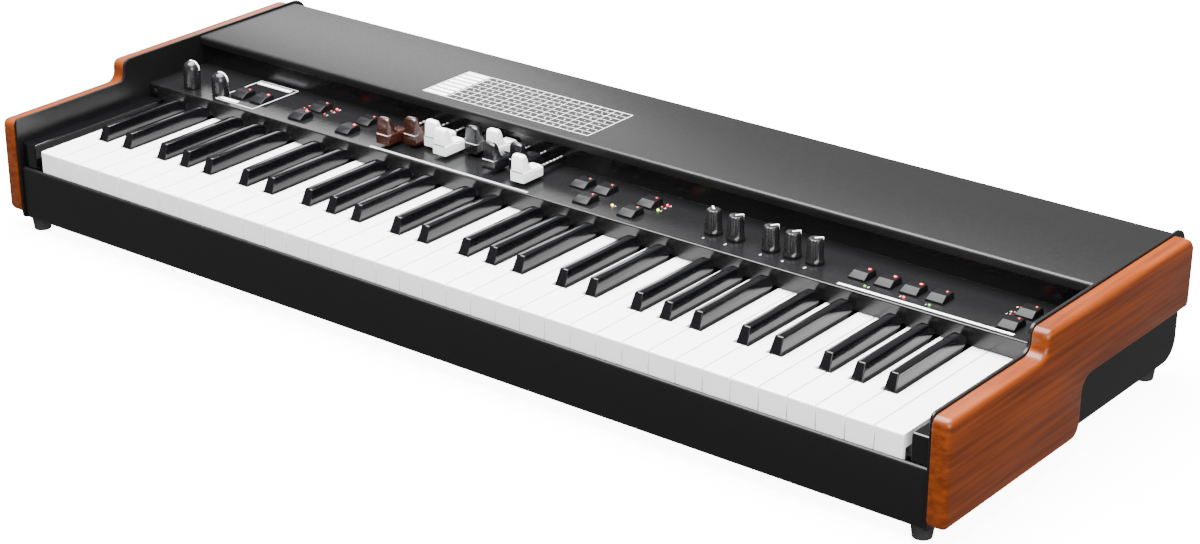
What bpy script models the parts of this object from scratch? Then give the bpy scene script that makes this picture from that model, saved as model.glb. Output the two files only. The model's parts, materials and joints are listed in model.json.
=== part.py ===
"""Portable electronic organ with 61 keys, nine drawbars, seven knobs and 17 buttons."""
import math

import bmesh
import bpy
from mathutils import Vector

# Clearances and sheet thickness
GAP = 0.0003
SHEET = 0.0015

# Case levels above the floor
FOOT_HEIGHT = 0.0107
TRAY_BOTTOM = 0.0110
LEDGE_TOP = 0.0568
PANEL_TOP = 0.0900
COVER_TOP = 0.1160

# Case depths, from the front of the white keys
CASE_SHIFT = -0.16925
TRAY_FRONT = -0.0040
LEDGE_REAR = -0.0008
FASCIA_FRONT = 0.1460
COVER_FRONT = 0.2095
WALL_FRONT = 0.2145
CASE_REAR = 0.3330
FASCIA_DROP = 0.0145
COVER_LIP = 0.0075

# End plates and wood cheeks
PLATE_INSIDE = 0.4446
PLATE_THICKNESS = 0.0024
WOOD_OUTSIDE = 0.4615
STEP_Y = 0.1185
STEP_HEIGHT = 0.0185
PLATE_TOP = 0.1175
WOOD_TOP = 0.1160
PLATE_FRONT = -0.0060
PLATE_REAR = 0.3460
WOOD_FRONT = -0.0075
WOOD_BOTTOM = 0.0155
WOOD_NOTCH_Y = 0.1750
WOOD_NOTCH_TOP = 0.0604
WOOD_EDGE = 0.0045

# Keys
KEY_PITCH = 0.0235
NATURAL_COUNT = 36
KEY_SLIT = 0.0010
WHITE_TOP = 0.0744
WHITE_THICKNESS = 0.0114
LIP_THICKNESS = 0.0030
LIP_BOTTOM = 0.0531
NOTCH_Y = 0.0487
HINGE_Y = 0.2360
BLACK_FRONT = 0.0497
BLACK_SLANT = 0.0056
BLACK_TOP = 0.0862
BLACK_WIDTH = 0.0098
BLACK_REAR = 0.1345
BLACK_BOTTOM = 0.0642
BLACK_TAIL_TOP = 0.0722
BLACK_TAIL_END = 0.2203
STRIP_DEPTH = 0.0145
BLACK_STRIP_FRONT = 0.2085
BLACK_STRIP_BOTTOM = 0.0500
BLACK_STRIP_TOP = 0.0575
SINGLE_FIRST = 31

# Tail of each natural key, from the key's left side
TAILS = {
    "C": (0.0, 0.0140), "D": (0.00475, 0.01875), "E": (0.0095, KEY_PITCH),
    "F": (0.0, 0.0133), "G": (0.0038, 0.0165), "A": (0.0070, 0.0197),
    "B": (0.0102, KEY_PITCH),
}
LETTERS = "CDEFGAB"

# Key blocks beside the keyboard
BLOCK_INSIDE = 0.4290
BLOCK_FRONT = -0.0010
BLOCK_TOP = 0.0783

# Keybed and boards
DECK_TOP = 0.0480
KEYBED_FRONT = 0.0205
KEYBED_FLANGE = 0.0120
CONTACT_FRONT = 0.0900
CONTACT_REAR = 0.1600
BOARD_THICKNESS = 0.0016
BOARD_TOP = 0.0806
BOARD_FRONT = 0.1500
BOARD_REAR = 0.2118
POT_HEIGHT = 0.0059
POST_RADIUS = 0.0025
POST_Y = 0.2060

# Drawbars
DRAWBAR_COUNT = 9
DRAWBAR_PITCH = 0.01755
DRAWBAR_FIRST_X = -0.1763
DRAWBAR_BOTTOM = 0.0930
DRAWBAR_FRONTS = (0.1528, 0.1666, 0.1723, 0.1630, 0.1821, 0.1875, 0.1622, 0.1748, 0.1558)
DRAWBAR_FINISHES = ("brown", "brown", "white", "white", "black", "white", "black", "black", "white")
DRAWBAR_WIDTH = 0.0136
DRAWBAR_RIDGE_WIDTH = 0.0116
DRAWBAR_SHOULDER = 0.0083
DRAWBAR_RIDGE = 0.0225
DRAWBAR_DEPTH = 0.0244
DRAWBAR_LENGTH = 0.1120
BAR_WIDTH = 0.0040
BAR_HEIGHT = 0.0028
BAR_LIFT = 0.0020
GUIDE_FRONT = 0.2190
GUIDE_REAR = 0.2500
GUIDE_BOTTOM = 0.0890
GUIDE_MARGIN = 0.0140

# Knobs: centre x, centre y
FLUTED_KNOBS = ((0.1430, 0.173), (0.1635, 0.173), (0.1956, 0.173), (0.2152, 0.173), (0.2353, 0.173))
DOMED_KNOBS = ((-0.4060, 0.1610, 0.1145), (-0.3735, 0.1630, 0.1105))
KNOB_SIDES = 24
KNOB_TOP_Z = 0.1095
SKIRT_RADIUS = 0.0073
GRIP_RADIUS = 0.0057
FLUTE_DEPTH = 0.0004
DOME_RADIUS = 0.0075
SHAFT_RADIUS = 0.0030
SHAFT_HOLE = 0.0034
KNOB_LIFT = 0.0006

# Buttons: centre x, centre y
ROW_FRONT = 0.1637
ROW_MIDDLE = 0.1725
ROW_REAR = 0.1885
BUTTONS = (
    (-0.3555, ROW_MIDDLE), (-0.3335, ROW_MIDDLE), (-0.2795, ROW_FRONT), (-0.2795, ROW_REAR),
    (-0.2255, ROW_FRONT), (-0.2255, ROW_REAR), (0.0050, ROW_REAR), (0.0270, ROW_FRONT),
    (0.0270, ROW_REAR), (0.0708, ROW_FRONT), (0.0708, ROW_REAR), (0.2772, ROW_MIDDLE),
    (0.2992, ROW_MIDDLE), (0.3212, ROW_MIDDLE), (0.3432, ROW_MIDDLE), (0.4070, ROW_FRONT),
    (0.4070, ROW_REAR),
)
BUTTON_WIDTH = 0.0144
BUTTON_DEPTH = 0.0170
BUTTON_RISE = 0.0048
BUTTON_SLOPE = 0.0060
BUTTON_FLANGE = 0.0011

# Feet
FOOT_X = 0.4370
FOOT_FRONT_Y = 0.0065
FOOT_REAR_Y = 0.3193
FOOT_TOP_RADIUS = 0.0085
FOOT_FLOOR_RADIUS = 0.0072
FOOT_SIDES = 24

PLANES = {
    "X": lambda u, v, w: (w, u, v),
    "Y": lambda u, v, w: (u, w, v),
    "Z": lambda u, v, w: (u, v, w),
}
FINISHES = {
    "black_paint": ((0.012, 0.012, 0.013), 0.45, 0.0),
    "panel_black": ((0.006, 0.006, 0.007), 0.15, 0.0),
    "wood": ((0.30, 0.105, 0.035), 0.38, 0.0),
    "white_key": ((0.86, 0.87, 0.88), 0.22, 0.0),
    "black_key": ((0.014, 0.014, 0.016), 0.40, 0.0),
    "brown": ((0.075, 0.022, 0.012), 0.25, 0.0),
    "white": ((0.84, 0.85, 0.86), 0.25, 0.0),
    "black": ((0.010, 0.010, 0.011), 0.25, 0.0),
    "knob": ((0.030, 0.031, 0.033), 0.45, 0.0),
    "button": ((0.012, 0.012, 0.013), 0.35, 0.0),
    "rubber": ((0.015, 0.015, 0.015), 0.80, 0.0),
    "steel": ((0.55, 0.56, 0.57), 0.35, 1.0),
    "board": ((0.020, 0.110, 0.045), 0.50, 0.0),
}


def clear_scene():
    for obj in list(bpy.data.objects):
        bpy.data.objects.remove(obj, do_unlink=True)


def finish(name):
    """Principled material of one of the finishes."""
    if name in bpy.data.materials:
        return bpy.data.materials[name]
    colour, roughness, metallic = FINISHES[name]
    made = bpy.data.materials.new(name)
    made.use_nodes = True
    shader = made.node_tree.nodes["Principled BSDF"]
    shader.inputs["Base Color"].default_value = (*colour, 1.0)
    shader.inputs["Roughness"].default_value = roughness
    shader.inputs["Metallic"].default_value = metallic
    return made


def rounded(corners, segments=4):
    """Closed outline whose corners (u, v, radius) turn into arcs."""
    points = []
    for index, (u, v, radius) in enumerate(corners):
        here = Vector((u, v))
        if radius <= 0.0:
            points.append((u, v))
            continue
        before = (Vector(corners[index - 1][:2]) - here).normalized()
        after = (Vector(corners[(index + 1) % len(corners)][:2]) - here).normalized()
        half = before.angle(after) / 2
        centre = here + (before + after).normalized() * (radius / math.sin(half))
        start = here + before * (radius / math.tan(half)) - centre
        end = here + after * (radius / math.tan(half)) - centre
        angle = math.atan2(start.y, start.x)
        turn = math.atan2(end.y, end.x) - angle
        turn = (turn + math.pi) % (2 * math.pi) - math.pi
        for step in range(segments + 1):
            at = angle + turn * step / segments
            points.append((centre.x + radius * math.cos(at), centre.y + radius * math.sin(at)))
    return points


def prism(bm, outline, axis, low, high):
    """Outline in the plane across the axis, extruded from low to high."""
    place = PLANES[axis]
    face = bm.faces.new([bm.verts.new(place(u, v, low)) for u, v in outline])
    made = bmesh.ops.extrude_face_region(bm, geom=[face])
    moved = [part for part in made["geom"] if isinstance(part, bmesh.types.BMVert)]
    bmesh.ops.translate(bm, vec=Vector(place(0.0, 0.0, high - low)), verts=moved)


def box(bm, x, y, z):
    """Box given by its low and high x, y and z."""
    prism(bm, [(x[0], y[0]), (x[1], y[0]), (x[1], y[1]), (x[0], y[1])], "Z", z[0], z[1])


def circle(centre, radius, sides):
    """Points of a circle in the plane of its centre."""
    angles = [2 * math.pi * side / sides for side in range(sides)]
    return [(centre[0] + radius * math.cos(a), centre[1] + radius * math.sin(a)) for a in angles]


def loft(bm, rings):
    """Skin over a row of closed rings, capped at both ends."""
    loops = [[bm.verts.new(point) for point in ring] for ring in rings]
    for lower, upper in zip(loops, loops[1:]):
        count = len(lower)
        for index in range(count):
            after = (index + 1) % count
            bm.faces.new((lower[index], lower[after], upper[after], upper[index]))
    bm.faces.new(loops[0])
    bm.faces.new(loops[-1])


def build_object(name, bm, look, origin=(0.0, 0.0, 0.0)):
    """Object from a bmesh in case coordinates, with its origin at the given place."""
    bmesh.ops.recalc_face_normals(bm, faces=bm.faces)
    bmesh.ops.translate(bm, vec=-Vector(origin), verts=bm.verts)
    mesh = bpy.data.meshes.new(name)
    bm.to_mesh(mesh)
    bm.free()
    mesh.materials.append(finish(look))
    mesh.shade_smooth()
    mesh.set_sharp_from_angle(angle=math.radians(35))
    obj = bpy.data.objects.new(name, mesh)
    obj.location = Vector(origin) + Vector((0.0, CASE_SHIFT, 0.0))
    bpy.context.scene.collection.objects.link(obj)
    return obj


def combine(obj, name, bm, operation, look):
    """Boolean of an object with a helper shape given in case coordinates."""
    helper = build_object(name, bm, look)
    helper.hide_render = True
    helper.display_type = "WIRE"
    modifier = obj.modifiers.new(operation.title(), "BOOLEAN")
    modifier.operation = operation
    modifier.solver = "EXACT"
    modifier.object = helper


def sheet_metal(name, corners, half_width, look):
    """Folded sheet whose profile runs along the case."""
    bm = bmesh.new()
    prism(bm, rounded(corners), "X", -half_width, half_width)
    return build_object(name, bm, look)


def build_tray():
    inner = TRAY_BOTTOM + SHEET
    rear = CASE_REAR - SHEET - GAP
    sheet_metal("chassis_tray", [
        (LEDGE_REAR, LEDGE_TOP, 0.0),
        (TRAY_FRONT, LEDGE_TOP, 0.0025),
        (TRAY_FRONT, TRAY_BOTTOM, 0.0025),
        (rear, TRAY_BOTTOM, 0.0025),
        (rear, TRAY_BOTTOM + 0.015, 0.0),
        (rear - SHEET, TRAY_BOTTOM + 0.015, 0.0),
        (rear - SHEET, inner, 0.001),
        (TRAY_FRONT + SHEET, inner, 0.001),
        (TRAY_FRONT + SHEET, LEDGE_TOP - SHEET, 0.001),
        (LEDGE_REAR, LEDGE_TOP - SHEET, 0.0),
    ], PLATE_INSIDE - GAP, "black_paint")


def build_cover():
    bottom = TRAY_BOTTOM + SHEET
    sheet_metal("top_cover", [
        (COVER_FRONT, COVER_TOP - COVER_LIP, 0.0),
        (COVER_FRONT, COVER_TOP, 0.0030),
        (CASE_REAR, COVER_TOP, 0.0040),
        (CASE_REAR, bottom, 0.0),
        (CASE_REAR - SHEET, bottom, 0.0),
        (CASE_REAR - SHEET, COVER_TOP - SHEET, 0.0025),
        (COVER_FRONT + SHEET, COVER_TOP - SHEET, 0.0015),
        (COVER_FRONT + SHEET, COVER_TOP - COVER_LIP, 0.0),
    ], PLATE_INSIDE - GAP, "black_paint")


def bar_slots(bm, low, high):
    """Slots for the nine bars through a wall between two depths."""
    z = DRAWBAR_BOTTOM + BAR_LIFT
    for index in range(DRAWBAR_COUNT):
        x = DRAWBAR_FIRST_X + index * DRAWBAR_PITCH
        reach = BAR_WIDTH / 2 + GAP
        box(bm, (x - reach, x + reach), (low, high), (z - GAP, z + BAR_HEIGHT + GAP))


def build_panel():
    top = COVER_TOP - SHEET - GAP
    panel = sheet_metal("control_panel", [
        (FASCIA_FRONT, PANEL_TOP - FASCIA_DROP, 0.0),
        (FASCIA_FRONT, PANEL_TOP, 0.0010),
        (WALL_FRONT, PANEL_TOP, 0.0),
        (WALL_FRONT, top, 0.0),
        (WALL_FRONT + SHEET, top, 0.0),
        (WALL_FRONT + SHEET, PANEL_TOP - SHEET, 0.0010),
        (FASCIA_FRONT + SHEET, PANEL_TOP - SHEET, 0.0),
        (FASCIA_FRONT + SHEET, PANEL_TOP - FASCIA_DROP, 0.0),
    ], PLATE_INSIDE - GAP, "panel_black")
    bm = bmesh.new()
    deep = (PANEL_TOP - 2 * SHEET, PANEL_TOP + SHEET)
    for x, y in BUTTONS:
        across = BUTTON_WIDTH / 2 + GAP
        along = BUTTON_DEPTH / 2 + GAP
        box(bm, (x - across, x + across), (y - along, y + along), deep)
    for x, y in FLUTED_KNOBS + tuple(knob[:2] for knob in DOMED_KNOBS):
        prism(bm, circle((x, y), SHAFT_HOLE, 16), "Z", *deep)
    bar_slots(bm, WALL_FRONT - SHEET, WALL_FRONT + 2 * SHEET)
    combine(panel, "panel_cut_outs", bm, "DIFFERENCE", "panel_black")


def build_ends():
    plate = rounded([
        (PLATE_FRONT, TRAY_BOTTOM, 0.003), (PLATE_REAR, TRAY_BOTTOM, 0.016),
        (PLATE_REAR, PLATE_TOP, 0.014), (STEP_Y, PLATE_TOP, 0.007),
        (STEP_Y, PLATE_TOP - STEP_HEIGHT, 0.008), (PLATE_FRONT, PLATE_TOP - STEP_HEIGHT, 0.004),
    ], 6)
    wood = rounded([
        (WOOD_FRONT, WOOD_BOTTOM, 0.006), (WOOD_NOTCH_Y, WOOD_BOTTOM, 0.011),
        (WOOD_NOTCH_Y, WOOD_NOTCH_TOP, 0.011), (CASE_REAR, WOOD_NOTCH_TOP, 0.006),
        (CASE_REAR, WOOD_TOP, 0.009), (STEP_Y, WOOD_TOP, 0.0065),
        (STEP_Y, WOOD_TOP - STEP_HEIGHT, 0.0085), (WOOD_FRONT, WOOD_TOP - STEP_HEIGHT, 0.006),
    ], 6)
    for side, sign in (("left", -1), ("right", 1)):
        bm = bmesh.new()
        prism(bm, plate, "X", sign * PLATE_INSIDE, sign * (PLATE_INSIDE + PLATE_THICKNESS))
        build_object(side + "_end_plate", bm, "black_paint")
        bm = bmesh.new()
        inside = PLATE_INSIDE + PLATE_THICKNESS + GAP
        prism(bm, wood, "X", sign * inside, sign * WOOD_OUTSIDE)
        outer = [edge for edge in bm.edges
                 if all(abs(abs(vert.co.x) - WOOD_OUTSIDE) < 1e-6 for vert in edge.verts)]
        bmesh.ops.bevel(bm, geom=outer, offset=WOOD_EDGE, segments=3, profile=0.5,
                        affect="EDGES", material=-1, clamp_overlap=True)
        build_object(side + "_wood_cheek", bm, "wood")
        bm = bmesh.new()
        outline = rounded([
            (BLOCK_FRONT, LEDGE_TOP + GAP, 0.0), (FASCIA_FRONT - GAP, LEDGE_TOP + GAP, 0.0),
            (FASCIA_FRONT - GAP, BLOCK_TOP, 0.0), (BLOCK_FRONT, BLOCK_TOP, 0.002),
        ])
        prism(bm, outline, "X", sign * BLOCK_INSIDE, sign * (PLATE_INSIDE - GAP))
        build_object(side + "_key_block", bm, "black_key")


def natural_key(bm, number):
    """White key with its front lip and its narrow tail between the black keys."""
    left = (number - NATURAL_COUNT / 2) * KEY_PITCH
    low, high = left + KEY_SLIT / 2, left + KEY_PITCH - KEY_SLIT / 2
    tail = TAILS[LETTERS[number % 7]]
    tail_low = max(low, left + tail[0])
    tail_high = high if number == NATURAL_COUNT - 1 else min(high, left + tail[1])
    front = [bm.verts.new((x, y, WHITE_TOP)) for x, y in
             ((low, 0.0), (high, 0.0), (high, LIP_THICKNESS), (low, LIP_THICKNESS))]
    outline = [(high, NOTCH_Y)] if tail_high < high else []
    outline += [(tail_high, NOTCH_Y)] if tail_high < high else []
    outline += [(tail_high, HINGE_Y), (tail_low, HINGE_Y)]
    outline += [(tail_low, NOTCH_Y), (low, NOTCH_Y)] if tail_low > low else []
    rest = [bm.verts.new((x, y, WHITE_TOP)) for x, y in outline]
    lip = bm.faces.new(front)
    body = bm.faces.new([front[3], front[2]] + rest)
    made = bmesh.ops.extrude_face_region(bm, geom=[lip, body])
    moved = [part for part in made["geom"] if isinstance(part, bmesh.types.BMVert)]
    bmesh.ops.translate(bm, vec=(0.0, 0.0, -WHITE_THICKNESS), verts=moved)
    under = [part for part in made["geom"] if isinstance(part, bmesh.types.BMFace)
             and part.calc_center_median().y < LIP_THICKNESS
             and part.calc_center_median().z < WHITE_TOP - WHITE_THICKNESS + GAP]
    made = bmesh.ops.extrude_face_region(bm, geom=under)
    bmesh.ops.delete(bm, geom=under, context="FACES_ONLY")
    moved = [part for part in made["geom"] if isinstance(part, bmesh.types.BMVert)]
    drop = LIP_BOTTOM - (WHITE_TOP - WHITE_THICKNESS)
    bmesh.ops.translate(bm, vec=(0.0, 0.0, drop), verts=moved)
    edge = bm.edges.get((front[0], front[1]))
    bmesh.ops.bevel(bm, geom=[edge], offset=0.0012, segments=2, profile=0.5,
                    affect="EDGES", material=-1, clamp_overlap=True)


def sharp_centre(number):
    """Middle of the black key that follows a natural key."""
    letter = LETTERS[number % 7]
    after = LETTERS[(number + 1) % 7]
    left = (number - NATURAL_COUNT / 2) * KEY_PITCH
    return left + (TAILS[letter][1] + KEY_PITCH + TAILS[after][0]) / 2


def sharp_key(bm, number):
    """Black key: slanted front, rounded rear, and a tail that drops to its hinge strip."""
    centre = sharp_centre(number)
    outline = rounded([
        (BLACK_FRONT, BLACK_BOTTOM, 0.0), (BLACK_FRONT + 0.0004, WHITE_TOP, 0.0),
        (BLACK_FRONT + BLACK_SLANT, BLACK_TOP, 0.0012), (BLACK_REAR, BLACK_TOP, 0.0050),
        (BLACK_REAR, BLACK_TAIL_TOP, 0.0), (BLACK_TAIL_END, BLACK_TAIL_TOP, 0.0),
        (BLACK_TAIL_END, BLACK_STRIP_TOP - 0.002, 0.0),
        (BLACK_STRIP_FRONT + 0.002, BLACK_STRIP_TOP - 0.002, 0.0),
        (BLACK_STRIP_FRONT + 0.002, BLACK_BOTTOM, 0.0),
    ], 3)
    known = set(bm.verts)
    prism(bm, outline, "X", centre - BLACK_WIDTH / 2, centre + BLACK_WIDTH / 2)
    upper = WHITE_TOP + 0.0005
    edges = [edge for edge in bm.edges
             if not known.intersection(edge.verts)
             and abs(edge.verts[0].co.x - edge.verts[1].co.x) < 1e-6
             and max(vert.co.z for vert in edge.verts) > upper
             and min(vert.co.z for vert in edge.verts) > BLACK_TAIL_TOP + 0.0001]
    bmesh.ops.bevel(bm, geom=edges, offset=0.0009, segments=2, profile=0.5,
                    affect="EDGES", material=-1, clamp_overlap=True)


def build_keys():
    """Singles at the right, and one comb each of white and black keys on hinge strips."""
    sharps = [number for number in range(NATURAL_COUNT - 1) if LETTERS[number % 7] in "CDFGA"]
    white_origin = (0.0, HINGE_Y, WHITE_TOP - WHITE_THICKNESS)
    black_origin = (0.0, HINGE_Y, BLACK_STRIP_BOTTOM)
    start = -NATURAL_COUNT / 2 * KEY_PITCH
    end = (SINGLE_FIRST - NATURAL_COUNT / 2) * KEY_PITCH
    for number in range(SINGLE_FIRST, NATURAL_COUNT):
        bm = bmesh.new()
        natural_key(bm, number)
        label = "key_" + LETTERS[number % 7] + str(2 + number // 7)
        build_object(label, bm, "white_key", white_origin)
    for number in [value for value in sharps if value >= SINGLE_FIRST]:
        bm = bmesh.new()
        sharp_key(bm, number)
        label = "key_" + LETTERS[number % 7] + "sharp" + str(2 + number // 7)
        key = build_object(label, bm, "black_key", black_origin)
        bm = bmesh.new()
        centre = sharp_centre(number)
        black_strip(bm, centre - BLACK_WIDTH / 2 - 0.0005, centre + BLACK_WIDTH / 2 + 0.0005)
        combine(key, label + "_strip", bm, "UNION", "black_key")
    bm = bmesh.new()
    low, high = WHITE_TOP - WHITE_THICKNESS + 0.0005, WHITE_TOP - 0.0010
    box(bm, (start + KEY_SLIT, end - KEY_SLIT), (HINGE_Y - STRIP_DEPTH, HINGE_Y - 0.0002), (low, high))
    comb = build_object("white_keys_C2_to_E6", bm, "white_key", white_origin)
    bm = bmesh.new()
    for number in range(SINGLE_FIRST):
        natural_key(bm, number)
    combine(comb, "white_key_row", bm, "UNION", "white_key")
    bm = bmesh.new()
    black_strip(bm, start + KEY_SLIT, end - KEY_SLIT)
    comb = build_object("black_keys_C2_to_D6", bm, "black_key", black_origin)
    bm = bmesh.new()
    for number in [value for value in sharps if value < SINGLE_FIRST]:
        sharp_key(bm, number)
    combine(comb, "black_key_row", bm, "UNION", "black_key")


def black_strip(bm, low, high):
    """Hinge strip that carries black keys below the tails of the white ones."""
    box(bm, (low, high), (BLACK_STRIP_FRONT, HINGE_Y), (BLACK_STRIP_BOTTOM, BLACK_STRIP_TOP))


def build_keybed():
    """Folded frame under the keys, with its hinge rail, and the contact board on its deck."""
    base = TRAY_BOTTOM + SHEET + GAP
    half_width = NATURAL_COUNT / 2 * KEY_PITCH
    rail = HINGE_Y + GAP
    sheet_metal("keybed_frame", [
        (KEYBED_FLANGE, base, 0.0), (KEYBED_FRONT + SHEET, base, 0.0),
        (KEYBED_FRONT + SHEET, DECK_TOP - SHEET, 0.0), (rail, DECK_TOP - SHEET, 0.0),
        (rail, base, 0.0), (rail + 0.010, base, 0.0), (rail + 0.010, base + SHEET, 0.0),
        (rail + SHEET, base + SHEET, 0.0), (rail + SHEET, WHITE_TOP, 0.0), (rail, WHITE_TOP, 0.0),
        (rail, DECK_TOP, 0.0), (KEYBED_FRONT, DECK_TOP, 0.0),
        (KEYBED_FRONT, base + SHEET, 0.0), (KEYBED_FLANGE, base + SHEET, 0.0),
    ], half_width, "steel")
    bottom = DECK_TOP + GAP
    top = bottom + BOARD_THICKNESS
    sheet_metal("key_contact_board", [
        (CONTACT_FRONT, bottom, 0.0), (CONTACT_REAR, bottom, 0.0), (CONTACT_REAR, top, 0.0),
        (0.136, top, 0.0), (0.134, top + 0.0035, 0.001), (0.126, top + 0.0035, 0.001),
        (0.124, top, 0.0), (CONTACT_FRONT, top, 0.0),
    ], half_width, "board")


def build_control_board():
    """Board under the control panel, with its posts and the bodies that carry the knobs."""
    bm = bmesh.new()
    reach = BLOCK_INSIDE
    box(bm, (-reach, reach), (BOARD_FRONT, BOARD_REAR), (BOARD_TOP - BOARD_THICKNESS, BOARD_TOP))
    board = build_object("main_circuit_board", bm, "board")
    bm = bmesh.new()
    bottom = BOARD_TOP - BOARD_THICKNESS / 2
    for x, y in FLUTED_KNOBS + tuple(knob[:2] for knob in DOMED_KNOBS):
        prism(bm, circle((x, y), 0.0046, 12), "Z", bottom, BOARD_TOP + POT_HEIGHT)
    for index in range(8):
        x = (index - 3.5) * 0.118
        prism(bm, circle((x, POST_Y), POST_RADIUS, 12), "Z", bottom, PANEL_TOP - SHEET - GAP)
    combine(board, "board_posts", bm, "UNION", "board")


def drawbar_ring(y, height, lower_width):
    """Cross-section of a drawbar's knob: a block with a narrower arched top."""
    shoulder = min(DRAWBAR_SHOULDER, height - 0.0012)
    upper = min(DRAWBAR_RIDGE_WIDTH, lower_width - 0.0010)
    arch = min(0.0020, (height - shoulder) * 0.6)
    points = [(lower_width / 2, 0.0), (lower_width / 2, shoulder), (upper / 2, shoulder + 0.0002)]
    for step in range(4):
        angle = math.pi / 2 * step / 3
        points.append((upper / 2 * math.cos(angle * 0.62), height - arch + arch * math.sin(angle)))
    right = [(x, y, z) for x, z in points]
    left = [(-x, y, z) for x, z in reversed(points)]
    return right + left


def build_drawbars():
    stations = (
        (0.0000, DRAWBAR_SHOULDER + 0.0012), (0.0006, DRAWBAR_RIDGE - 0.0012),
        (0.0020, DRAWBAR_RIDGE), (0.0048, DRAWBAR_RIDGE), (0.0062, DRAWBAR_RIDGE - 0.0022),
        (0.0076, 0.0158), (0.0096, 0.0118), (0.0124, 0.0092), (0.0160, 0.0080),
        (DRAWBAR_DEPTH, 0.0084),
    )
    for index in range(DRAWBAR_COUNT):
        x = DRAWBAR_FIRST_X + index * DRAWBAR_PITCH
        y = DRAWBAR_FRONTS[index]
        bm = bmesh.new()
        loft(bm, [drawbar_ring(at, height, DRAWBAR_WIDTH) for at, height in stations])
        bmesh.ops.translate(bm, vec=(x, y, DRAWBAR_BOTTOM), verts=bm.verts)
        name = "drawbar_" + str(index + 1)
        bar = build_object(name, bm, DRAWBAR_FINISHES[index], (x, y, DRAWBAR_BOTTOM))
        bm = bmesh.new()
        z = DRAWBAR_BOTTOM + BAR_LIFT
        box(bm, (x - BAR_WIDTH / 2, x + BAR_WIDTH / 2),
            (y + DRAWBAR_DEPTH - 0.004, y + DRAWBAR_LENGTH), (z, z + BAR_HEIGHT))
        combine(bar, name + "_bar", bm, "UNION", DRAWBAR_FINISHES[index])
    last = DRAWBAR_FIRST_X + (DRAWBAR_COUNT - 1) * DRAWBAR_PITCH
    top = COVER_TOP - SHEET - GAP
    bm = bmesh.new()
    outline = [
        (GUIDE_FRONT, GUIDE_BOTTOM), (GUIDE_FRONT + SHEET, GUIDE_BOTTOM),
        (GUIDE_FRONT + SHEET, top - SHEET), (GUIDE_REAR - SHEET, top - SHEET),
        (GUIDE_REAR - SHEET, GUIDE_BOTTOM), (GUIDE_REAR, GUIDE_BOTTOM),
        (GUIDE_REAR, top), (GUIDE_FRONT, top),
    ]
    prism(bm, outline, "X", DRAWBAR_FIRST_X - GUIDE_MARGIN, last + GUIDE_MARGIN)
    guide = build_object("drawbar_frame", bm, "steel")
    bm = bmesh.new()
    bar_slots(bm, GUIDE_FRONT - SHEET, GUIDE_FRONT + 2 * SHEET)
    bar_slots(bm, GUIDE_REAR - 2 * SHEET, GUIDE_REAR + SHEET)
    combine(guide, "frame_slots", bm, "DIFFERENCE", "steel")


def turned(bm, centre, levels):
    """Turned shape from (radius, height, flute depth) levels."""
    rings = []
    for radius, z, flute in levels:
        ring = []
        for side in range(KNOB_SIDES):
            angle = 2 * math.pi * side / KNOB_SIDES
            reach = radius + flute * (-1) ** side
            ring.append((centre[0] + reach * math.cos(angle), centre[1] + reach * math.sin(angle), z))
        rings.append(ring)
    loft(bm, rings)


def build_knobs():
    shaft_end = BOARD_TOP + POT_HEIGHT + GAP
    base = PANEL_TOP + KNOB_LIFT
    for index, (x, y) in enumerate(FLUTED_KNOBS):
        bm = bmesh.new()
        turned(bm, (x, y), (
            (SHAFT_RADIUS, shaft_end, 0.0), (SHAFT_RADIUS, base, 0.0),
            (SKIRT_RADIUS, base, 0.0), (SKIRT_RADIUS, base + 0.0016, 0.0),
            (GRIP_RADIUS + 0.0006, base + 0.0034, FLUTE_DEPTH),
            (GRIP_RADIUS, KNOB_TOP_Z - 0.0010, FLUTE_DEPTH), (GRIP_RADIUS - 0.0008, KNOB_TOP_Z, 0.0),
        ))
        build_object("rotary_knob_" + str(index + 1), bm, "knob", (x, y, base))
    for index, (x, y, top) in enumerate(DOMED_KNOBS):
        bm = bmesh.new()
        levels = [(SHAFT_RADIUS, shaft_end, 0.0), (SHAFT_RADIUS, base, 0.0), (DOME_RADIUS, base, 0.0)]
        for step in range(5):
            angle = math.radians(18 * step)
            spring = top - DOME_RADIUS
            radius = DOME_RADIUS * math.cos(angle)
            levels.append((radius, spring + DOME_RADIUS * math.sin(angle), 0.0))
        turned(bm, (x, y), levels)
        build_object("domed_knob_" + str(index + 1), bm, "knob", (x, y, base))


def build_buttons():
    under = PANEL_TOP - SHEET - GAP
    for index, (x, y) in enumerate(BUTTONS):
        across, along = BUTTON_WIDTH / 2, BUTTON_DEPTH / 2
        levels = (
            (BUTTON_FLANGE, 0.0, under - 0.0016), (BUTTON_FLANGE, 0.0, under), (0.0, 0.0, under),
            (0.0, 0.0, PANEL_TOP + 0.0014), (-0.0007, BUTTON_SLOPE, PANEL_TOP + BUTTON_RISE),
        )
        bm = bmesh.new()
        rings = []
        for grow, slope, z in levels:
            a, b = across + grow, along + grow
            rings.append([(x - a, y - b + slope, z), (x + a, y - b + slope, z), (x + a, y + b, z), (x - a, y + b, z)])
        loft(bm, rings)
        build_object("button_" + str(index + 1), bm, "button", (x, y, PANEL_TOP))


def build_feet():
    for side, x in (("left", -FOOT_X), ("right", FOOT_X)):
        for end, y in (("front", FOOT_FRONT_Y), ("rear", FOOT_REAR_Y)):
            bm = bmesh.new()
            rings = []
            for radius, z in ((FOOT_FLOOR_RADIUS, 0.0), (FOOT_TOP_RADIUS, FOOT_HEIGHT)):
                rings.append([(px, py, z) for px, py in circle((x, y), radius, FOOT_SIDES)])
            loft(bm, rings)
            build_object(end + "_" + side + "_foot", bm, "rubber")


def build_organ():
    clear_scene()
    build_tray()
    build_cover()
    build_panel()
    build_ends()
    build_keys()
    build_keybed()
    build_control_board()
    build_drawbars()
    build_knobs()
    build_buttons()
    build_feet()


build_organ()
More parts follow.
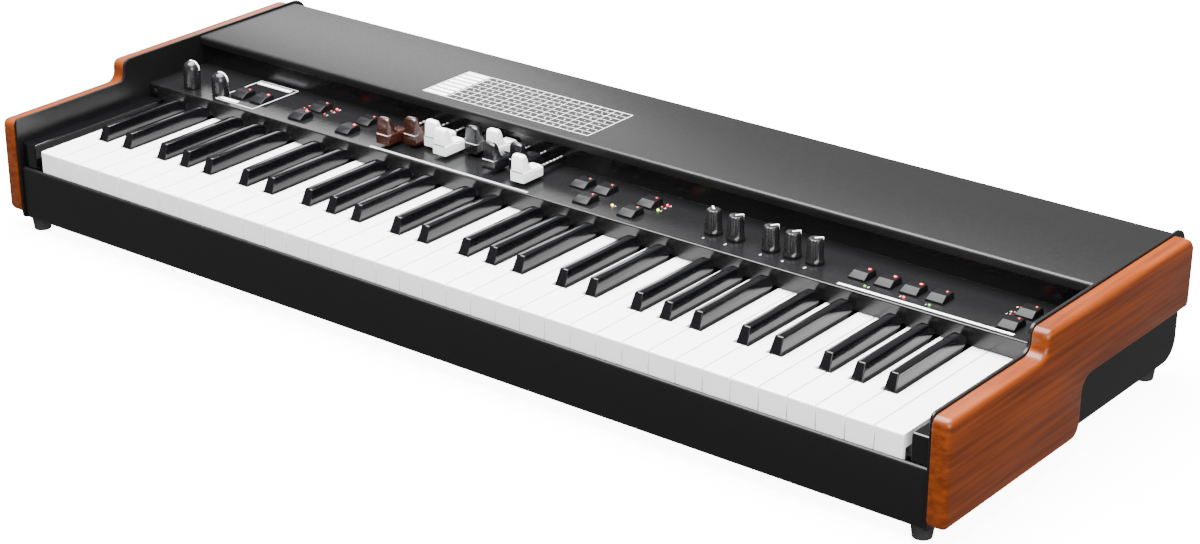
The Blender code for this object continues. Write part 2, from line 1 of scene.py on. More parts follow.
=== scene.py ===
"""Dresses the electronic organ: finishes, prints, lamps, sockets, stage, lights and camera."""

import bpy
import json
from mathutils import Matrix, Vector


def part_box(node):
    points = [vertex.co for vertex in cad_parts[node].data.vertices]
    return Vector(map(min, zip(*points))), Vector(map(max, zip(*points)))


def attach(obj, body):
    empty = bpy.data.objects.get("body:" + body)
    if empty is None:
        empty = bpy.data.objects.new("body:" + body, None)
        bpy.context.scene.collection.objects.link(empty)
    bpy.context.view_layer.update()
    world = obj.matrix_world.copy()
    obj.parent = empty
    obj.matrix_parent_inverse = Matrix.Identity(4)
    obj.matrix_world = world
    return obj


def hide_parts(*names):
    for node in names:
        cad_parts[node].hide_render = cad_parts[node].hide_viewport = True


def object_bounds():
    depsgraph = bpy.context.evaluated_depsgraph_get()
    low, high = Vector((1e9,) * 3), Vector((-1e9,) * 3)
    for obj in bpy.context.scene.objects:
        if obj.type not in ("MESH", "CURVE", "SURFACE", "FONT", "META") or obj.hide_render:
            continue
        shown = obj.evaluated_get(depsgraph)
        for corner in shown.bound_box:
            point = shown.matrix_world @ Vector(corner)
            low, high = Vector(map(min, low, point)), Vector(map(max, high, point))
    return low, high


bl_info = {
    "name": "Drawbar Organ Dressing",
    "version": (1, 0, 0),
    "blender": (4, 5, 0),
    "location": "View3D > Sidebar > Organ",
    "description": "Finishes and small details of a portable electronic organ",
    "category": "Object",
}

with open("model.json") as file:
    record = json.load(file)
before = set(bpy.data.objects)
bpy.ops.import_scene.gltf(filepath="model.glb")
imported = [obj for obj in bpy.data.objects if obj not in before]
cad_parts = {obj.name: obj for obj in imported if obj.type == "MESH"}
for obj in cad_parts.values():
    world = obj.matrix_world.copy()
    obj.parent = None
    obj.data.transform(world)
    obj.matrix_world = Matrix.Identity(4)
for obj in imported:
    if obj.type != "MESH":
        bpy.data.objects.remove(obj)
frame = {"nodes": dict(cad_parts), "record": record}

import json
import math

import bmesh
import bpy
from mathutils import Matrix, Vector

CAD_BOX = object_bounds()
BODY_OF = {node: body for body, nodes in frame["record"]["behaviour"]["bodies"].items() for node in nodes}


def corners(node):
    """Lowest and highest corner of a node at rest."""
    low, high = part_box(node)
    return Vector(low), Vector(high)


KEY_LOW, KEY_HIGH = corners("key_C7")
PANEL_LOW, PANEL_HIGH = corners("control_panel")
COVER_LOW, COVER_HIGH = corners("top_cover")
KEY_FRONT = KEY_LOW.y
FASCIA_FRONT = PANEL_LOW.y
PANEL_TOP = 0.0900
PRINT_LIFT = 0.0001
BLACK_TOP_Z = 0.0862
BLACK_BASE_Z = 0.0748
BLACK_TAPER = 0.24
BLACK_ROUND_START = 0.1255
BLACK_ROUND_STRETCH = 1.05
PRINT_THICKNESS = 0.00012
DRAWBAR_DEPTH = 0.0244

# Lamps on the panel: x, distance behind the key fronts, kind
LAMPS = (
    (-0.2915, 0.1814, "dim"), (-0.2915, 0.1877, "dim"), (-0.2915, 0.1964, "dim"),
    (-0.2680, 0.1812, "dim"), (-0.2680, 0.1899, "dim"), (-0.2680, 0.1967, "red"),
    (0.0491, 0.1691, "yellow"), (0.0830, 0.1955, "red"), (0.0821, 0.1895, "dim"),
    (0.0830, 0.1831, "green"), (0.2887, 0.1583, "green_dim"), (0.3214, 0.1588, "red"),
    (0.3434, 0.1581, "green_dim"), (0.3972, 0.1945, "red"), (0.3976, 0.1849, "dim"),
    (0.3968, 0.1799, "dim"),
)
LIT_BUTTONS = (2, 3, 5, 12, 13, 14)
LAMP_LOOKS = {
    "red": ((0.60, 0.01, 0.01), (1.0, 0.004, 0.002), 5.0),
    "dim": ((0.12, 0.006, 0.006), (0.8, 0.01, 0.005), 0.5),
    "yellow": ((0.8, 0.5, 0.03), (1.0, 0.60, 0.02), 8.0),
    "green": ((0.4, 0.8, 0.05), (0.55, 1.0, 0.10), 5.0),
    "green_dim": ((0.10, 0.30, 0.03), (0.25, 0.9, 0.05), 0.8),
}
# How far each pointer is turned from straight away from the player
KNOB_TURNS = {"rotary_knob_1": 45.0, "rotary_knob_2": -35.0, "rotary_knob_3": -35.0,
              "rotary_knob_4": -35.0, "rotary_knob_5": -35.0}


class OrganFinishes(bpy.types.PropertyGroup):
    """Colours of the organ's surfaces."""
    wood_light: bpy.props.FloatVectorProperty(
        name="Wood light", description="Light part of the wood grain", subtype="COLOR",
        size=3, default=(0.175, 0.033, 0.0028))
    wood_dark: bpy.props.FloatVectorProperty(
        name="Wood dark", description="Dark part of the wood grain", subtype="COLOR",
        size=3, default=(0.066, 0.0105, 0.0009))
    metal: bpy.props.FloatVectorProperty(
        name="Case metal", description="Powder coat of the case", subtype="COLOR",
        size=3, default=(0.0040, 0.0038, 0.0041))
    white_key: bpy.props.FloatVectorProperty(
        name="White keys", description="Plastic of the white keys", subtype="COLOR",
        size=3, default=(0.90, 0.90, 0.89))
    print_white: bpy.props.FloatVectorProperty(
        name="Print", description="Screen print on the case", subtype="COLOR",
        size=3, default=(0.86, 0.87, 0.88))


class OrganLamps(bpy.types.PropertyGroup):
    """Size and strength of the indicator lamps."""
    radius: bpy.props.FloatProperty(
        name="Lamp radius", description="Radius of a panel lamp", subtype="DISTANCE",
        unit="LENGTH", default=0.0011)
    strength: bpy.props.FloatProperty(
        name="Lamp strength", description="How strongly lit lamps glow", default=1.0)


class OrganStage(bpy.types.PropertyGroup):
    """Floor and lights."""
    floor_size: bpy.props.FloatProperty(
        name="Floor size", description="Side of the floor", subtype="DISTANCE",
        unit="LENGTH", default=14.0)
    main_power: bpy.props.FloatProperty(
        name="Main light", description="Power of the softbox overhead",
        subtype="POWER", default=680.0)
    fill_power: bpy.props.FloatProperty(
        name="Fill light", description="Power of the light in front", subtype="POWER", default=140.0)
    rear_power: bpy.props.FloatProperty(
        name="Rear light", description="Power of the light behind the left end", subtype="POWER",
        default=14.0)
    floor_glow: bpy.props.FloatProperty(
        name="Floor glow", description="Lifts the floor to white in the picture", default=10.0)


def principled(name, colour, roughness, metallic=0.0, coat=0.0, gloss=0.5):
    """Material whose constants are set on its shader."""
    made = bpy.data.materials.new(name)
    made.use_nodes = True
    shader = made.node_tree.nodes["Principled BSDF"]
    shader.inputs["Base Color"].default_value = (*colour, 1.0)
    shader.inputs["Roughness"].default_value = roughness
    shader.inputs["Metallic"].default_value = metallic
    shader.inputs["Coat Weight"].default_value = coat
    shader.inputs["Coat Roughness"].default_value = 0.12
    shader.inputs["Specular IOR Level"].default_value = gloss
    return made


def noise(made, scale, stretch=(1.0, 1.0, 1.0), detail=4.0, distortion=0.0):
    """Noise in object coordinates, stretched along an axis."""
    nodes, links = made.node_tree.nodes, made.node_tree.links
    place = nodes.new("ShaderNodeTexCoord")
    mapping = nodes.new("ShaderNodeMapping")
    mapping.inputs["Scale"].default_value = stretch
    texture = nodes.new("ShaderNodeTexNoise")
    texture.inputs["Scale"].default_value = scale
    texture.inputs["Detail"].default_value = detail
    texture.inputs["Distortion"].default_value = distortion
    links.new(place.outputs["Object"], mapping.inputs["Vector"])
    links.new(mapping.outputs["Vector"], texture.inputs["Vector"])
    return texture.outputs["Fac"]


def vary_roughness(made, source, low, high):
    """Roughness between two values after a pattern."""
    nodes, links = made.node_tree.nodes, made.node_tree.links
    span = nodes.new("ShaderNodeMapRange")
    span.inputs["From Min"].default_value = 0.3
    span.inputs["From Max"].default_value = 0.7
    span.inputs["To Min"].default_value = low
    span.inputs["To Max"].default_value = high
    links.new(source, span.inputs["Value"])
    links.new(span.outputs["Result"], nodes["Principled BSDF"].inputs["Roughness"])


def vary_colour(made, source, dark, light, start=0.35, end=0.68):
    """Base colour between two colours after a pattern."""
    nodes, links = made.node_tree.nodes, made.node_tree.links
    ramp = nodes.new("ShaderNodeValToRGB")
    ramp.color_ramp.elements[0].position = start
    ramp.color_ramp.elements[0].color = (*dark, 1.0)
    ramp.color_ramp.elements[1].position = end
    ramp.color_ramp.elements[1].color = (*light, 1.0)
    links.new(source, ramp.inputs["Fac"])
    links.new(ramp.outputs["Color"], nodes["Principled BSDF"].inputs["Base Color"])


def relief(made, source, strength, distance):
    """Bump after a pattern."""
    nodes, links = made.node_tree.nodes, made.node_tree.links
    bump = nodes.new("ShaderNodeBump")
    bump.inputs["Strength"].default_value = strength
    bump.inputs["Distance"].default_value = distance
    links.new(source, bump.inputs["Height"])
    links.new(bump.outputs["Normal"], nodes["Principled BSDF"].inputs["Normal"])


def tinted(colour, factor):
    return tuple(channel * factor for channel in colour)


def textured(name, colour, roughness, scale, strength, metallic=0.0, coat=0.0, spread=0.12, gloss=0.5):
    """Finish with a fine relief, uneven gloss and a slight drift of colour."""
    made = principled(name, colour, roughness, metallic, coat, gloss)
    relief(made, noise(made, scale), strength, 0.0001)
    vary_roughness(made, noise(made, 320.0, detail=6.0), roughness * 0.93, roughness * 1.08)
    vary_colour(made, noise(made, 14.0, detail=3.0), tinted(colour, 1.0 - spread), tinted(colour, 1.0 + spread))
    return made


def wood_finish(choice):
    """Straight-grained brown wood under satin lacquer, its grain along the case's depth."""
    made = principled("wood_lacquer", choice.wood_light, 0.34, coat=0.05, gloss=0.25)
    figure = noise(made, 62.0, (2.2, 0.13, 4.2), detail=12.0, distortion=0.25)
    vary_colour(made, figure, choice.wood_dark, choice.wood_light, 0.24, 0.66)
    pores = noise(made, 330.0, (2.0, 0.07, 3.0), detail=5.0)
    relief(made, pores, 0.35, 0.0002)
    vary_roughness(made, noise(made, 60.0, (1.0, 0.2, 2.0)), 0.28, 0.42)
    return made


def make_finishes(choice):
    """All surface finishes by name."""
    looks = {
        "case": textured("black_powder_coat", choice.metal, 0.36, 1900.0, 0.25, spread=0.03, gloss=0.25),
        "panel": textured("satin_black_panel", (0.004, 0.004, 0.0043), 0.25, 2400.0, 0.06, spread=0.03, gloss=0.35),
        "wood": wood_finish(choice),
        "steel": textured("zinc_plate", (0.52, 0.53, 0.54), 0.34, 900.0, 0.08, metallic=1.0),
        "board": textured("solder_mask", (0.02, 0.13, 0.05), 0.42, 700.0, 0.10),
        "rubber": textured("foot_rubber", (0.016, 0.016, 0.016), 0.78, 1400.0, 0.4),
        "white_keys": textured("white_key_plastic", choice.white_key, 0.20, 1500.0, 0.02, coat=0.3, spread=0.015),
        "black_keys": textured("black_key_plastic", (0.0022, 0.0022, 0.0026), 0.13, 1800.0, 0.02, coat=0.1, gloss=0.3),
        "drawbar_brown": textured("brown_plastic", (0.024, 0.006, 0.003), 0.22, 1500.0, 0.03, coat=0.3),
        "drawbar_white": textured("white_plastic", (0.82, 0.83, 0.84), 0.22, 1500.0, 0.03, coat=0.3, spread=0.02),
        "drawbar_black": textured("black_plastic", (0.005, 0.005, 0.0055), 0.20, 1500.0, 0.03, coat=0.2),
        "knobs": textured("knob_black", (0.006, 0.006, 0.0065), 0.26, 1500.0, 0.08, spread=0.05),
        "buttons": textured("button_black", (0.0035, 0.0035, 0.0040), 0.34, 1700.0, 0.10, spread=0.05, gloss=0.12),
        "print": textured("screen_print", choice.print_white, 0.45, 2000.0, 0.05, spread=0.04),
    }
    return looks


def looks():
    """Finishes, made on first use."""
    if "black_powder_coat" not in bpy.data.materials:
        make_finishes(bpy.context.scene.organ_finishes)
    names = {
        "case": "black_powder_coat", "panel": "satin_black_panel", "wood": "wood_lacquer",
        "steel": "zinc_plate", "board": "solder_mask", "rubber": "foot_rubber",
        "white_keys": "white_key_plastic", "black_keys": "black_key_plastic",
        "drawbar_brown": "brown_plastic", "drawbar_white": "white_plastic",
        "drawbar_black": "black_plastic", "knobs": "knob_black", "buttons": "button_black",
        "print": "screen_print",
    }
    return {slot: bpy.data.materials[name] for slot, name in names.items()}


def lamp_finish(kind):
    """Lens of a lamp, lit or dark."""
    name = "lamp_" + kind
    if name in bpy.data.materials:
        return bpy.data.materials[name]
    colour, glow, strength = LAMP_LOOKS[kind]
    made = textured(name, colour, 0.15, 900.0, 0.02, coat=0.3)
    shader = made.node_tree.nodes["Principled BSDF"]
    shader.inputs["Emission Color"].default_value = (*glow, 1.0)
    shader.inputs["Emission Strength"].default_value = strength * bpy.context.scene.organ_lamps.strength
    return made


def add_piece(name, bm, body, look, replaced=None, angle=35.0, bevel=0.0):
    """Object from a finished bmesh, riding on a body."""
    bmesh.ops.recalc_face_normals(bm, faces=bm.faces)
    mesh = bpy.data.meshes.new(name)
    bm.to_mesh(mesh)
    bm.free()
    mesh.materials.append(look)
    mesh.shade_smooth()
    mesh.set_sharp_from_angle(angle=math.radians(angle))
    piece = bpy.data.objects.new(name, mesh)
    bpy.context.scene.collection.objects.link(piece)
    if bevel:
        modifier = piece.modifiers.new("Soft edges", "BEVEL")
        modifier.width = bevel
        modifier.segments = 2
        modifier.limit_method = "ANGLE"
        modifier.angle_limit = math.radians(35)
    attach(piece, body)
    if replaced:
        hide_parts(replaced)
    return piece


def slot_of(node):
    for entry in frame["record"]["subparts"]:
        if entry["node"] == node:
            return entry["material_slot"]
    raise ValueError("no slot for " + node)


def dress(node, bevel=0.0, angle=35.0, reshape=None):
    """Smooth copy of a node in its finish, standing for the node."""
    bm = bmesh.new()
    bm.from_mesh(frame["nodes"][node].data)
    bmesh.ops.remove_doubles(bm, verts=bm.verts, dist=0.000002)
    bmesh.ops.dissolve_limit(bm, angle_limit=math.radians(0.5), verts=bm.verts, edges=bm.edges)
    if reshape:
        reshape(bm)
    slot = slot_of(node)
    return add_piece(node + "_finished", bm, BODY_OF[node], looks()[slot], node, angle, bevel)


def sharpen_black_keys(bm):
    """Narrow the tops of the black keys and draw their rear rounding out towards the fascia."""
    top = BLACK_TOP_Z - 0.0018
    for vert in bm.verts:
        if vert.co.z < BLACK_BASE_Z:
            continue
        middle = min(BLACK_CENTRES, key=lambda centre: abs(centre - vert.co.x))
        lift = min(1.0, (vert.co.z - BLACK_BASE_Z) / (top - BLACK_BASE_Z))
        vert.co.x = middle + (vert.co.x - middle) * (1.0 - BLACK_TAPER * lift)
        behind = vert.co.y - (KEY_FRONT + BLACK_ROUND_START)
        if behind > 0.0 and vert.co.y < FASCIA_FRONT - 0.010:
            vert.co.y += behind * BLACK_ROUND_STRETCH


def black_centres():
    """Middle of every black key across the keyboard, from the notches of the white keys."""
    pitch = (KEY_HIGH.x - KEY_LOW.x + 0.0010)
    start = KEY_HIGH.x + 0.0005 - 36 * pitch
    offsets = {0: 0.021125, 1: 0.026, 3: 0.0203, 4: 0.0235, 5: 0.0267}
    return [start + number * pitch + offsets[number % 7] for number in range(35) if number % 7 in offsets]


def slab(bm, low, high):
    """Box between two corners."""
    made = bmesh.ops.create_cube(bm, size=1.0)["verts"]
    low, high = Vector(low), Vector(high)
    bmesh.ops.scale(bm, vec=high - low, verts=made)
    bmesh.ops.translate(bm, vec=(low + high) / 2, verts=made)
    return made


def print_mark(bm, x, y, level):
    """Thin printed rectangle on a level surface, y counted from the key fronts."""
    slab(bm, (x[0], KEY_FRONT + y[0], level + PRINT_LIFT), (x[1], KEY_FRONT + y[1], level + PRINT_LIFT + PRINT_THICKNESS))


def print_frame(bm, x, y, level, line):
    """Outline of a printed box."""
    print_mark(bm, x, (y[0], y[0] + line), level)
    print_mark(bm, x, (y[1] - line, y[1]), level)
    print_mark(bm, (x[0], x[0] + line), (y[0] + line, y[1] - line), level)
    print_mark(bm, (x[1] - line, x[1]), (y[0] + line, y[1] - line), level)


def round_post(bm, centre, radius, low, high, sides=24):
    """Upright cylinder."""
    made = bmesh.ops.create_cone(
        bm, cap_ends=True, cap_tris=False, segments=sides, radius1=radius, radius2=radius, depth=high - low)["verts"]
    bmesh.ops.translate(bm, vec=(centre[0], centre[1], (low + high) / 2), verts=made)
    return made


def ring(bm, outer, inner, low, high, sides=28):
    """Flat ring about the upright axis, its section spun round."""
    section = [bm.verts.new((radius, 0.0, height)) for radius, height in (
        (inner, low), (outer, low), (outer, high), (inner, high))]
    sides_of = [bm.edges.new((section[index - 1], section[index])) for index in range(4)]
    bmesh.ops.spin(bm, geom=section + sides_of, cent=(0.0, 0.0, 0.0), axis=(0.0, 0.0, 1.0),
                   angle=math.radians(360.0), steps=sides, use_merge=True, use_duplicate=False)
    bmesh.ops.remove_doubles(bm, verts=bm.verts, dist=0.00001)


BLACK_CENTRES = black_centres()


def figures(bm, words, x, y, level, height, align="CENTER"):
    """Printed number or plain word on a level surface, y counted from the key fronts."""
    text = bpy.data.curves.new("print_text", "FONT")
    text.body = words
    text.size = height / 0.70
    text.align_x = align
    text.extrude = PRINT_THICKNESS / 2
    text.resolution_u = 2
    holder = bpy.data.objects.new("print_text", text)
    mesh = holder.to_mesh()
    mesh.transform(Matrix.Translation((x, KEY_FRONT + y, level + PRINT_LIFT + PRINT_THICKNESS / 2)))
    bm.from_mesh(mesh)
    holder.to_mesh_clear()
    bpy.data.objects.remove(holder)
    bpy.data.curves.remove(text)


class ORGAN_OT_case(bpy.types.Operator):
    """Finish the sheet metal, the panel, the boards and the feet"""
    bl_idname = "organ.case"
    bl_label = "Case"

    def execute(self, context):
        dress("chassis_tray", 0.0007, 30.0)
        for node in ("top_cover", "left_end_plate", "right_end_plate"):
            dress(node, 0.0003, 30.0)
        dress("control_panel", 0.0002, 30.0)
        for node in ("keybed_frame", "drawbar_frame", "key_contact_board", "main_circuit_board"):
            dress(node, 0.0001)
        for node in ("front_left_foot", "front_right_foot", "rear_left_foot", "rear_right_foot"):
            dress(node, 0.0006)
        return {"FINISHED"}


class ORGAN_OT_wood(bpy.types.Operator):
    """Lacquer the two wood cheeks"""
    bl_idname = "organ.wood"
    bl_label = "Wood cheeks"

    def execute(self, context):
        for node in ("left_wood_cheek", "right_wood_cheek"):
            dress(node, 0.0005, 60.0)
        return {"FINISHED"}


class ORGAN_OT_keys(bpy.types.Operator):
    """Finish the keys and the blocks beside them"""
    bl_idname = "organ.keys"
    bl_label = "Keys"

    def execute(self, context):
        for node in BODY_OF:
            if node.startswith("key_") and node != "key_contact_board" or "_keys_" in node:
                black = slot_of(node) == "black_keys"
                dress(node, 0.00025 if black else 0.00035, 30.0 if black else 40.0, sharpen_black_keys if black else None)
        for node in ("left_key_block", "right_key_block"):
            dress(node, 0.0006, 40.0)
        return {"FINISHED"}


class ORGAN_OT_drawbars(bpy.types.Operator):
    """Finish the drawbars and print the line across each front"""
    bl_idname = "organ.drawbars"
    bl_label = "Drawbars"

    def execute(self, context):
        for index in range(1, 10):
            node = "drawbar_" + str(index)
            piece = dress(node, 0.0004, 50.0)
            low, high = corners(node)
            piece.data.materials.append(looks()["drawbar_black"])
            for face in piece.data.polygons:
                if face.center.y > low.y + DRAWBAR_DEPTH + 0.0002:
                    face.material_index = 1
            bm = bmesh.new()
            for number in range(1, 9):
                y = low.y - KEY_FRONT + DRAWBAR_DEPTH + 0.0035 + (number - 1) * 0.0045
                figures(bm, str(9 - number), (low.x + high.x) / 2, y, low.z + 0.0048, 0.0024)
            add_piece(node + "_figures", bm, node, looks()["print"])
            bm = bmesh.new()
            step = low.z + 0.0083
            slab(bm, (low.x + 0.0009, low.y - 0.00012, step - 0.0003), (high.x - 0.0009, low.y + 0.00018, step + 0.0003))
            look = looks()["print"] if slot_of(node) != "drawbar_white" else looks()["knobs"]
            add_piece(node + "_line", bm, node, look)
        return {"FINISHED"}


class ORGAN_OT_knobs(bpy.types.Operator):
    """Finish the knobs and their pointers"""
    bl_idname = "organ.knobs"
    bl_label = "Knobs"

    def execute(self, context):
        for node in BODY_OF:
            if "_knob_" not in node:
                continue
            dress(node, 0.00025, 50.0)
            low, high = corners(node)
            middle = (low + high) / 2
            bm = bmesh.new()
            if node.startswith("rotary"):
                slab(bm, (-0.0007, -0.0005, high.z + 0.00002), (0.0007, 0.0054, high.z + 0.0003))
                slab(bm, (-0.0006, 0.0052, high.z - 0.0140), (0.0006, 0.0064, high.z + 0.0001))
                turn = Matrix.Rotation(math.radians(KNOB_TURNS[node]), 4, "Z")
            else:
                radius = (high.x - low.x) / 2
                spring = high.z - radius
                reach = radius + 0.0004
                start = [bm.verts.new((side * 0.0008, reach, spring)) for side in (-1, 1)]
                edge = bm.edges.new(start)
                bmesh.ops.spin(bm, geom=[edge] + start, cent=(0.0, 0.0, spring), axis=(1.0, 0.0, 0.0),
                               angle=math.radians(100.0), steps=12, use_duplicate=False)
                bmesh.ops.solidify(bm, geom=bm.faces[:], thickness=-0.0003)
                turn = Matrix.Rotation(math.radians(-75.0), 4, "Z")
            bmesh.ops.transform(bm, matrix=Matrix.Translation((middle.x, middle.y, 0.0)) @ turn, verts=bm.verts)
            add_piece(node + "_pointer", bm, node, looks()["print"])
        return {"FINISHED"}


class ORGAN_OT_buttons(bpy.types.Operator):
    """Finish the buttons, with a lamp in the rear of each cap"""
    bl_idname = "organ.buttons"
    bl_label = "Buttons"

    def execute(self, context):
        for index in range(1, 18):
            node = "button_" + str(index)
            dress(node, 0.0005, 18.0)
            low, high = corners(node)
            middle = (low + high) / 2
            bm = bmesh.new()
            lens = bmesh.ops.create_uvsphere(bm, u_segments=16, v_segments=8, radius=0.0014)["verts"]
            bmesh.ops.scale(bm, vec=(1.0, 1.0, 0.45), verts=lens)
            bmesh.ops.translate(bm, vec=(middle.x + 0.0030, high.y - 0.0042, high.z), verts=lens)
            kind = "red" if index in LIT_BUTTONS else "dim"
            add_piece(node + "_lens", bm, node, lamp_finish(kind), angle=60.0)
        return {"FINISHED"}


class ORGAN_OT_lamps(bpy.types.Operator):
    """Set the indicator lamps into the panel"""
    bl_idname = "organ.lamps"
    bl_label = "Panel lamps"

    def execute(self, context):
        radius = context.scene.organ_lamps.radius
        for index, (x, y, kind) in enumerate(LAMPS):
            bm = bmesh.new()
            made = bmesh.ops.create_uvsphere(bm, u_segments=16, v_segments=10, radius=radius)["verts"]
            bmesh.ops.scale(bm, vec=(1.0, 1.0, 0.8), verts=made)
            bmesh.ops.translate(bm, vec=(x, KEY_FRONT + y, PANEL_TOP + 0.0004), verts=made)
            add_piece("panel_lamp_" + str(index + 1), bm, "case", lamp_finish(kind), angle=60.0)
        return {"FINISHED"}


class ORGAN_OT_prints(bpy.types.Operator):
    """Print the lines, boxes and scales on the panel and the cover"""
    bl_idname = "organ.prints"
    bl_label = "Prints"

    def execute(self, context):
        print_look = looks()["print"]
        bm = bmesh.new()
        print_mark(bm, (-0.187, -0.020), (0.1484, 0.1490), PANEL_TOP)
        print_mark(bm, (-0.187, -0.020), (0.1500, 0.1504), PANEL_TOP)
        print_mark(bm, (0.2698, 0.4162), (0.1500, 0.1530), PANEL_TOP)
        print_frame(bm, (-0.3700, -0.3255), (0.1530, 0.2100), PANEL_TOP, 0.0005)
        print_mark(bm, (-0.3680, -0.3300), (0.2020, 0.2070), PANEL_TOP)
        print_mark(bm, (-0.3680, -0.3475), (0.1555, 0.1595), PANEL_TOP)
        for index in range(1, 6):
            low, high = corners("rotary_knob_" + str(index))
            figures(bm, str(index), (low.x + high.x) / 2, 0.1585, PANEL_TOP, 0.0026)
        for index in range(1, 18):
            low, high = corners("button_" + str(index))
            row = (low.y + high.y) / 2 - KEY_FRONT
            figures(bm, str(index), (low.x + high.x) / 2, row + 0.0102, PANEL_TOP, 0.0024)
        for index, (x, y, kind) in enumerate(LAMPS):
            side = 0.0030 if x < 0.3 else -0.0030
            figures(bm, str(index % 3 + 1), x + side, y - 0.0009, PANEL_TOP, 0.0020)
        add_piece("panel_prints", bm, "case", print_look)
        bm = bmesh.new()
        top = COVER_HIGH.z
        print_frame(bm, (-0.194, -0.018), (0.2235, 0.2840), top, 0.0006)
        for row in range(8):
            y = 0.2235 + 0.0605 * row / 8
            print_mark(bm, (-0.1925, -0.1700), (y + 0.0014, y + 0.0062), top)
            for column in range(10):
                x = -0.1675 + (column + 0.5) * 0.0148
                figures(bm, str((row * 7 + column * 3) % 9 + 1), x, y + 0.0027, top, 0.0021)
        for row in range(1, 8):
            y = 0.2235 + 0.0605 * row / 8
            print_mark(bm, (-0.194, -0.020), (y - 0.0002, y + 0.0002), top)
        for column in range(10):
            x = -0.1675 + column * (0.1475 / 10)
            print_mark(bm, (x - 0.0002, x + 0.0002), (0.2235, 0.2840), top + PRINT_THICKNESS)
        add_piece("cover_table_print", bm, "case", print_look)
        return {"FINISHED"}


class ORGAN_OT_fittings(bpy.types.Operator):
    """Add the fascia screws, and the sockets at the rear"""
    bl_idname = "organ.fittings"
    bl_label = "Screws and sockets"

    def execute(self, context):
        steel = looks()["steel"]
        for side in (-1, 1):
            bm = bmesh.new()
            round_post(bm, (0.0, 0.0), 0.0026, 0.0, 0.0012)
            slot = slab(bm, (-0.0018, -0.0003, 0.0011), (0.0018, 0.0003, 0.0014))
            bmesh.ops.rotate(bm, cent=(0, 0, 0), matrix=Matrix.Rotation(0.6, 3, "Z"), verts=slot)
            place = Matrix.Translation((side * 0.437, FASCIA_FRONT, 0.0835)) @ Matrix.Rotation(math.radians(90), 4, "X")
            bmesh.ops.transform(bm, matrix=place, verts=bm.verts)
            add_piece("fascia_screw_" + ("left" if side < 0 else "right"), bm, "case", looks()["case"], bevel=0.0003)
        rear = COVER_HIGH.y
        reach = min(0.0018, CAD_BOX[1][1] - rear - 0.0002)
        for index in range(8):
            place = Matrix.Translation((-0.10 + index * 0.032, rear, 0.060)) @ Matrix.Rotation(math.radians(-90), 4, "X")
            bm = bmesh.new()
            ring(bm, 0.0075, 0.0042, -0.0004, reach)
            bmesh.ops.transform(bm, matrix=place, verts=bm.verts)
            add_piece("socket_ring_" + str(index + 1), bm, "case", steel, bevel=0.0002)
            bm = bmesh.new()
            round_post(bm, (0.0, 0.0), 0.0043, -0.0004, reach / 4)
            bmesh.ops.transform(bm, matrix=place, verts=bm.verts)
            add_piece("socket_mouth_" + str(index + 1), bm, "case", looks()["drawbar_black"])
        bm = bmesh.new()
        slab(bm, (0.300, rear - 0.0004, 0.045), (0.330, rear + reach, 0.073))
        add_piece("mains_inlet_frame", bm, "case", looks()["buttons"], bevel=0.0004)
        return {"FINISHED"}


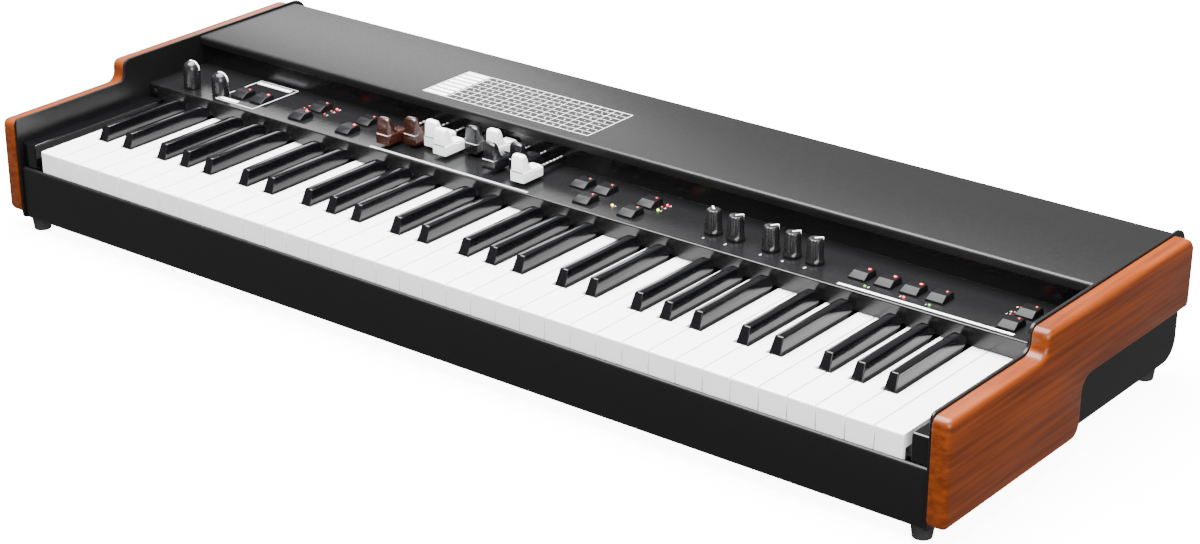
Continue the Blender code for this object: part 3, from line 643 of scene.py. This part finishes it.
class ORGAN_OT_stage(bpy.types.Operator):
    """Set the floor, the lights and the camera"""
    bl_idname = "organ.stage"
    bl_label = "Stage"

    def execute(self, context):
        stage = context.scene.organ_stage
        bm = bmesh.new()
        bmesh.ops.create_grid(bm, x_segments=1, y_segments=1, size=stage.floor_size / 2)
        mesh = bpy.data.meshes.new("studio_floor")
        bm.to_mesh(mesh)
        bm.free()
        look = textured("floor_white", (0.86, 0.86, 0.86), 0.55, 60.0, 0.01, spread=0.005)
        shader = look.node_tree.nodes["Principled BSDF"]
        shader.inputs["Emission Color"].default_value = (1.0, 1.0, 1.0, 1.0)
        shader.inputs["Emission Strength"].default_value = stage.floor_glow
        mesh.materials.append(look)
        floor = bpy.data.objects.new("studio_floor", mesh)
        floor.visible_glossy = False
        floor.visible_diffuse = False
        context.scene.collection.objects.link(floor)
        self.add_light("main_light", (-0.3, 0.0, 2.4), 2.6, stage.main_power)
        self.add_light("fill_light", (2.4, -2.0, 1.2), 1.8, stage.fill_power)
        self.add_light("rear_light", (-2.6, 2.6, 1.3), 1.0, stage.rear_power)
        world = bpy.data.worlds.new("studio_world")
        world.use_nodes = True
        world.node_tree.nodes["Background"].inputs["Color"].default_value = (1.0, 1.0, 1.0, 1.0)
        world.node_tree.nodes["Background"].inputs["Strength"].default_value = 0.35
        context.scene.world = world
        self.add_camera(context)
        return {"FINISHED"}

    def add_light(self, name, place, size, power):
        data = bpy.data.lights.new(name, "AREA")
        data.size = size
        data.energy = power
        light = bpy.data.objects.new(name, data)
        light.location = place
        light.rotation_euler = (Vector((0.0, 0.0, 0.05)) - Vector(place)).to_track_quat("-Z", "Y").to_euler()
        bpy.context.scene.collection.objects.link(light)

    def add_camera(self, context):
        azimuth, elevation, roll = CAMERA_TURN
        forward = Vector((-math.sin(azimuth) * math.cos(elevation), math.cos(azimuth) * math.cos(elevation), -math.sin(elevation)))
        across = Vector((math.cos(azimuth), math.sin(azimuth), 0.0))
        up = across.cross(forward)
        right = math.cos(roll) * across + math.sin(roll) * up
        top = math.cos(roll) * up - math.sin(roll) * across
        data = bpy.data.cameras.new("view_camera")
        data.sensor_width = 36.0
        data.lens = CAMERA_FOCAL_PIXELS * 36.0 / IMAGE_SIZE[0]
        data.shift_x = (IMAGE_SIZE[0] / 2 - CAMERA_CENTRE[0]) / IMAGE_SIZE[0]
        data.shift_y = (CAMERA_CENTRE[1] - IMAGE_SIZE[1] / 2) / IMAGE_SIZE[0]
        camera = bpy.data.objects.new("view_camera", data)
        camera.matrix_world = Matrix.Translation(CAMERA_PLACE) @ Matrix((right, top, -forward)).transposed().to_4x4()
        context.scene.collection.objects.link(camera)
        context.scene.camera = camera


# Fitted camera, in radians, pixels and metres
IMAGE_SIZE = (1200, 544)
CAMERA_PLACE = (1.2501, -1.5654, 0.8860)
CAMERA_TURN = (0.68055, 0.44545, -0.00508)
CAMERA_FOCAL_PIXELS = 2727.6
CAMERA_CENTRE = (547.1, 374.8)


class ORGAN_PT_dressing(bpy.types.Panel):
    """Buttons for each step of the organ's dressing"""
    bl_idname = "ORGAN_PT_dressing"
    bl_label = "Organ"
    bl_space_type = "VIEW_3D"
    bl_region_type = "UI"
    bl_category = "Organ"

    def draw(self, context):
        for operator in OPERATORS:
            self.layout.operator(operator.bl_idname)
        for group in (context.scene.organ_finishes, context.scene.organ_lamps, context.scene.organ_stage):
            for name in group.__annotations__:
                self.layout.prop(group, name)


OPERATORS = (ORGAN_OT_case, ORGAN_OT_wood, ORGAN_OT_keys, ORGAN_OT_drawbars, ORGAN_OT_knobs,
             ORGAN_OT_buttons, ORGAN_OT_lamps, ORGAN_OT_prints, ORGAN_OT_fittings, ORGAN_OT_stage)
CLASSES = (OrganFinishes, OrganLamps, OrganStage) + OPERATORS + (ORGAN_PT_dressing,)


def register():
    for item in CLASSES:
        bpy.utils.register_class(item)
    bpy.types.Scene.organ_finishes = bpy.props.PointerProperty(type=OrganFinishes)
    bpy.types.Scene.organ_lamps = bpy.props.PointerProperty(type=OrganLamps)
    bpy.types.Scene.organ_stage = bpy.props.PointerProperty(type=OrganStage)


def unregister():
    del bpy.types.Scene.organ_stage
    del bpy.types.Scene.organ_lamps
    del bpy.types.Scene.organ_finishes
    for item in reversed(CLASSES):
        bpy.utils.unregister_class(item)


def main():
    register()
    for step in ("case", "wood", "keys", "drawbars", "knobs", "buttons", "lamps", "prints", "fittings", "stage"):
        getattr(bpy.ops.organ, step)()


if __name__ == "__main__":
    main()
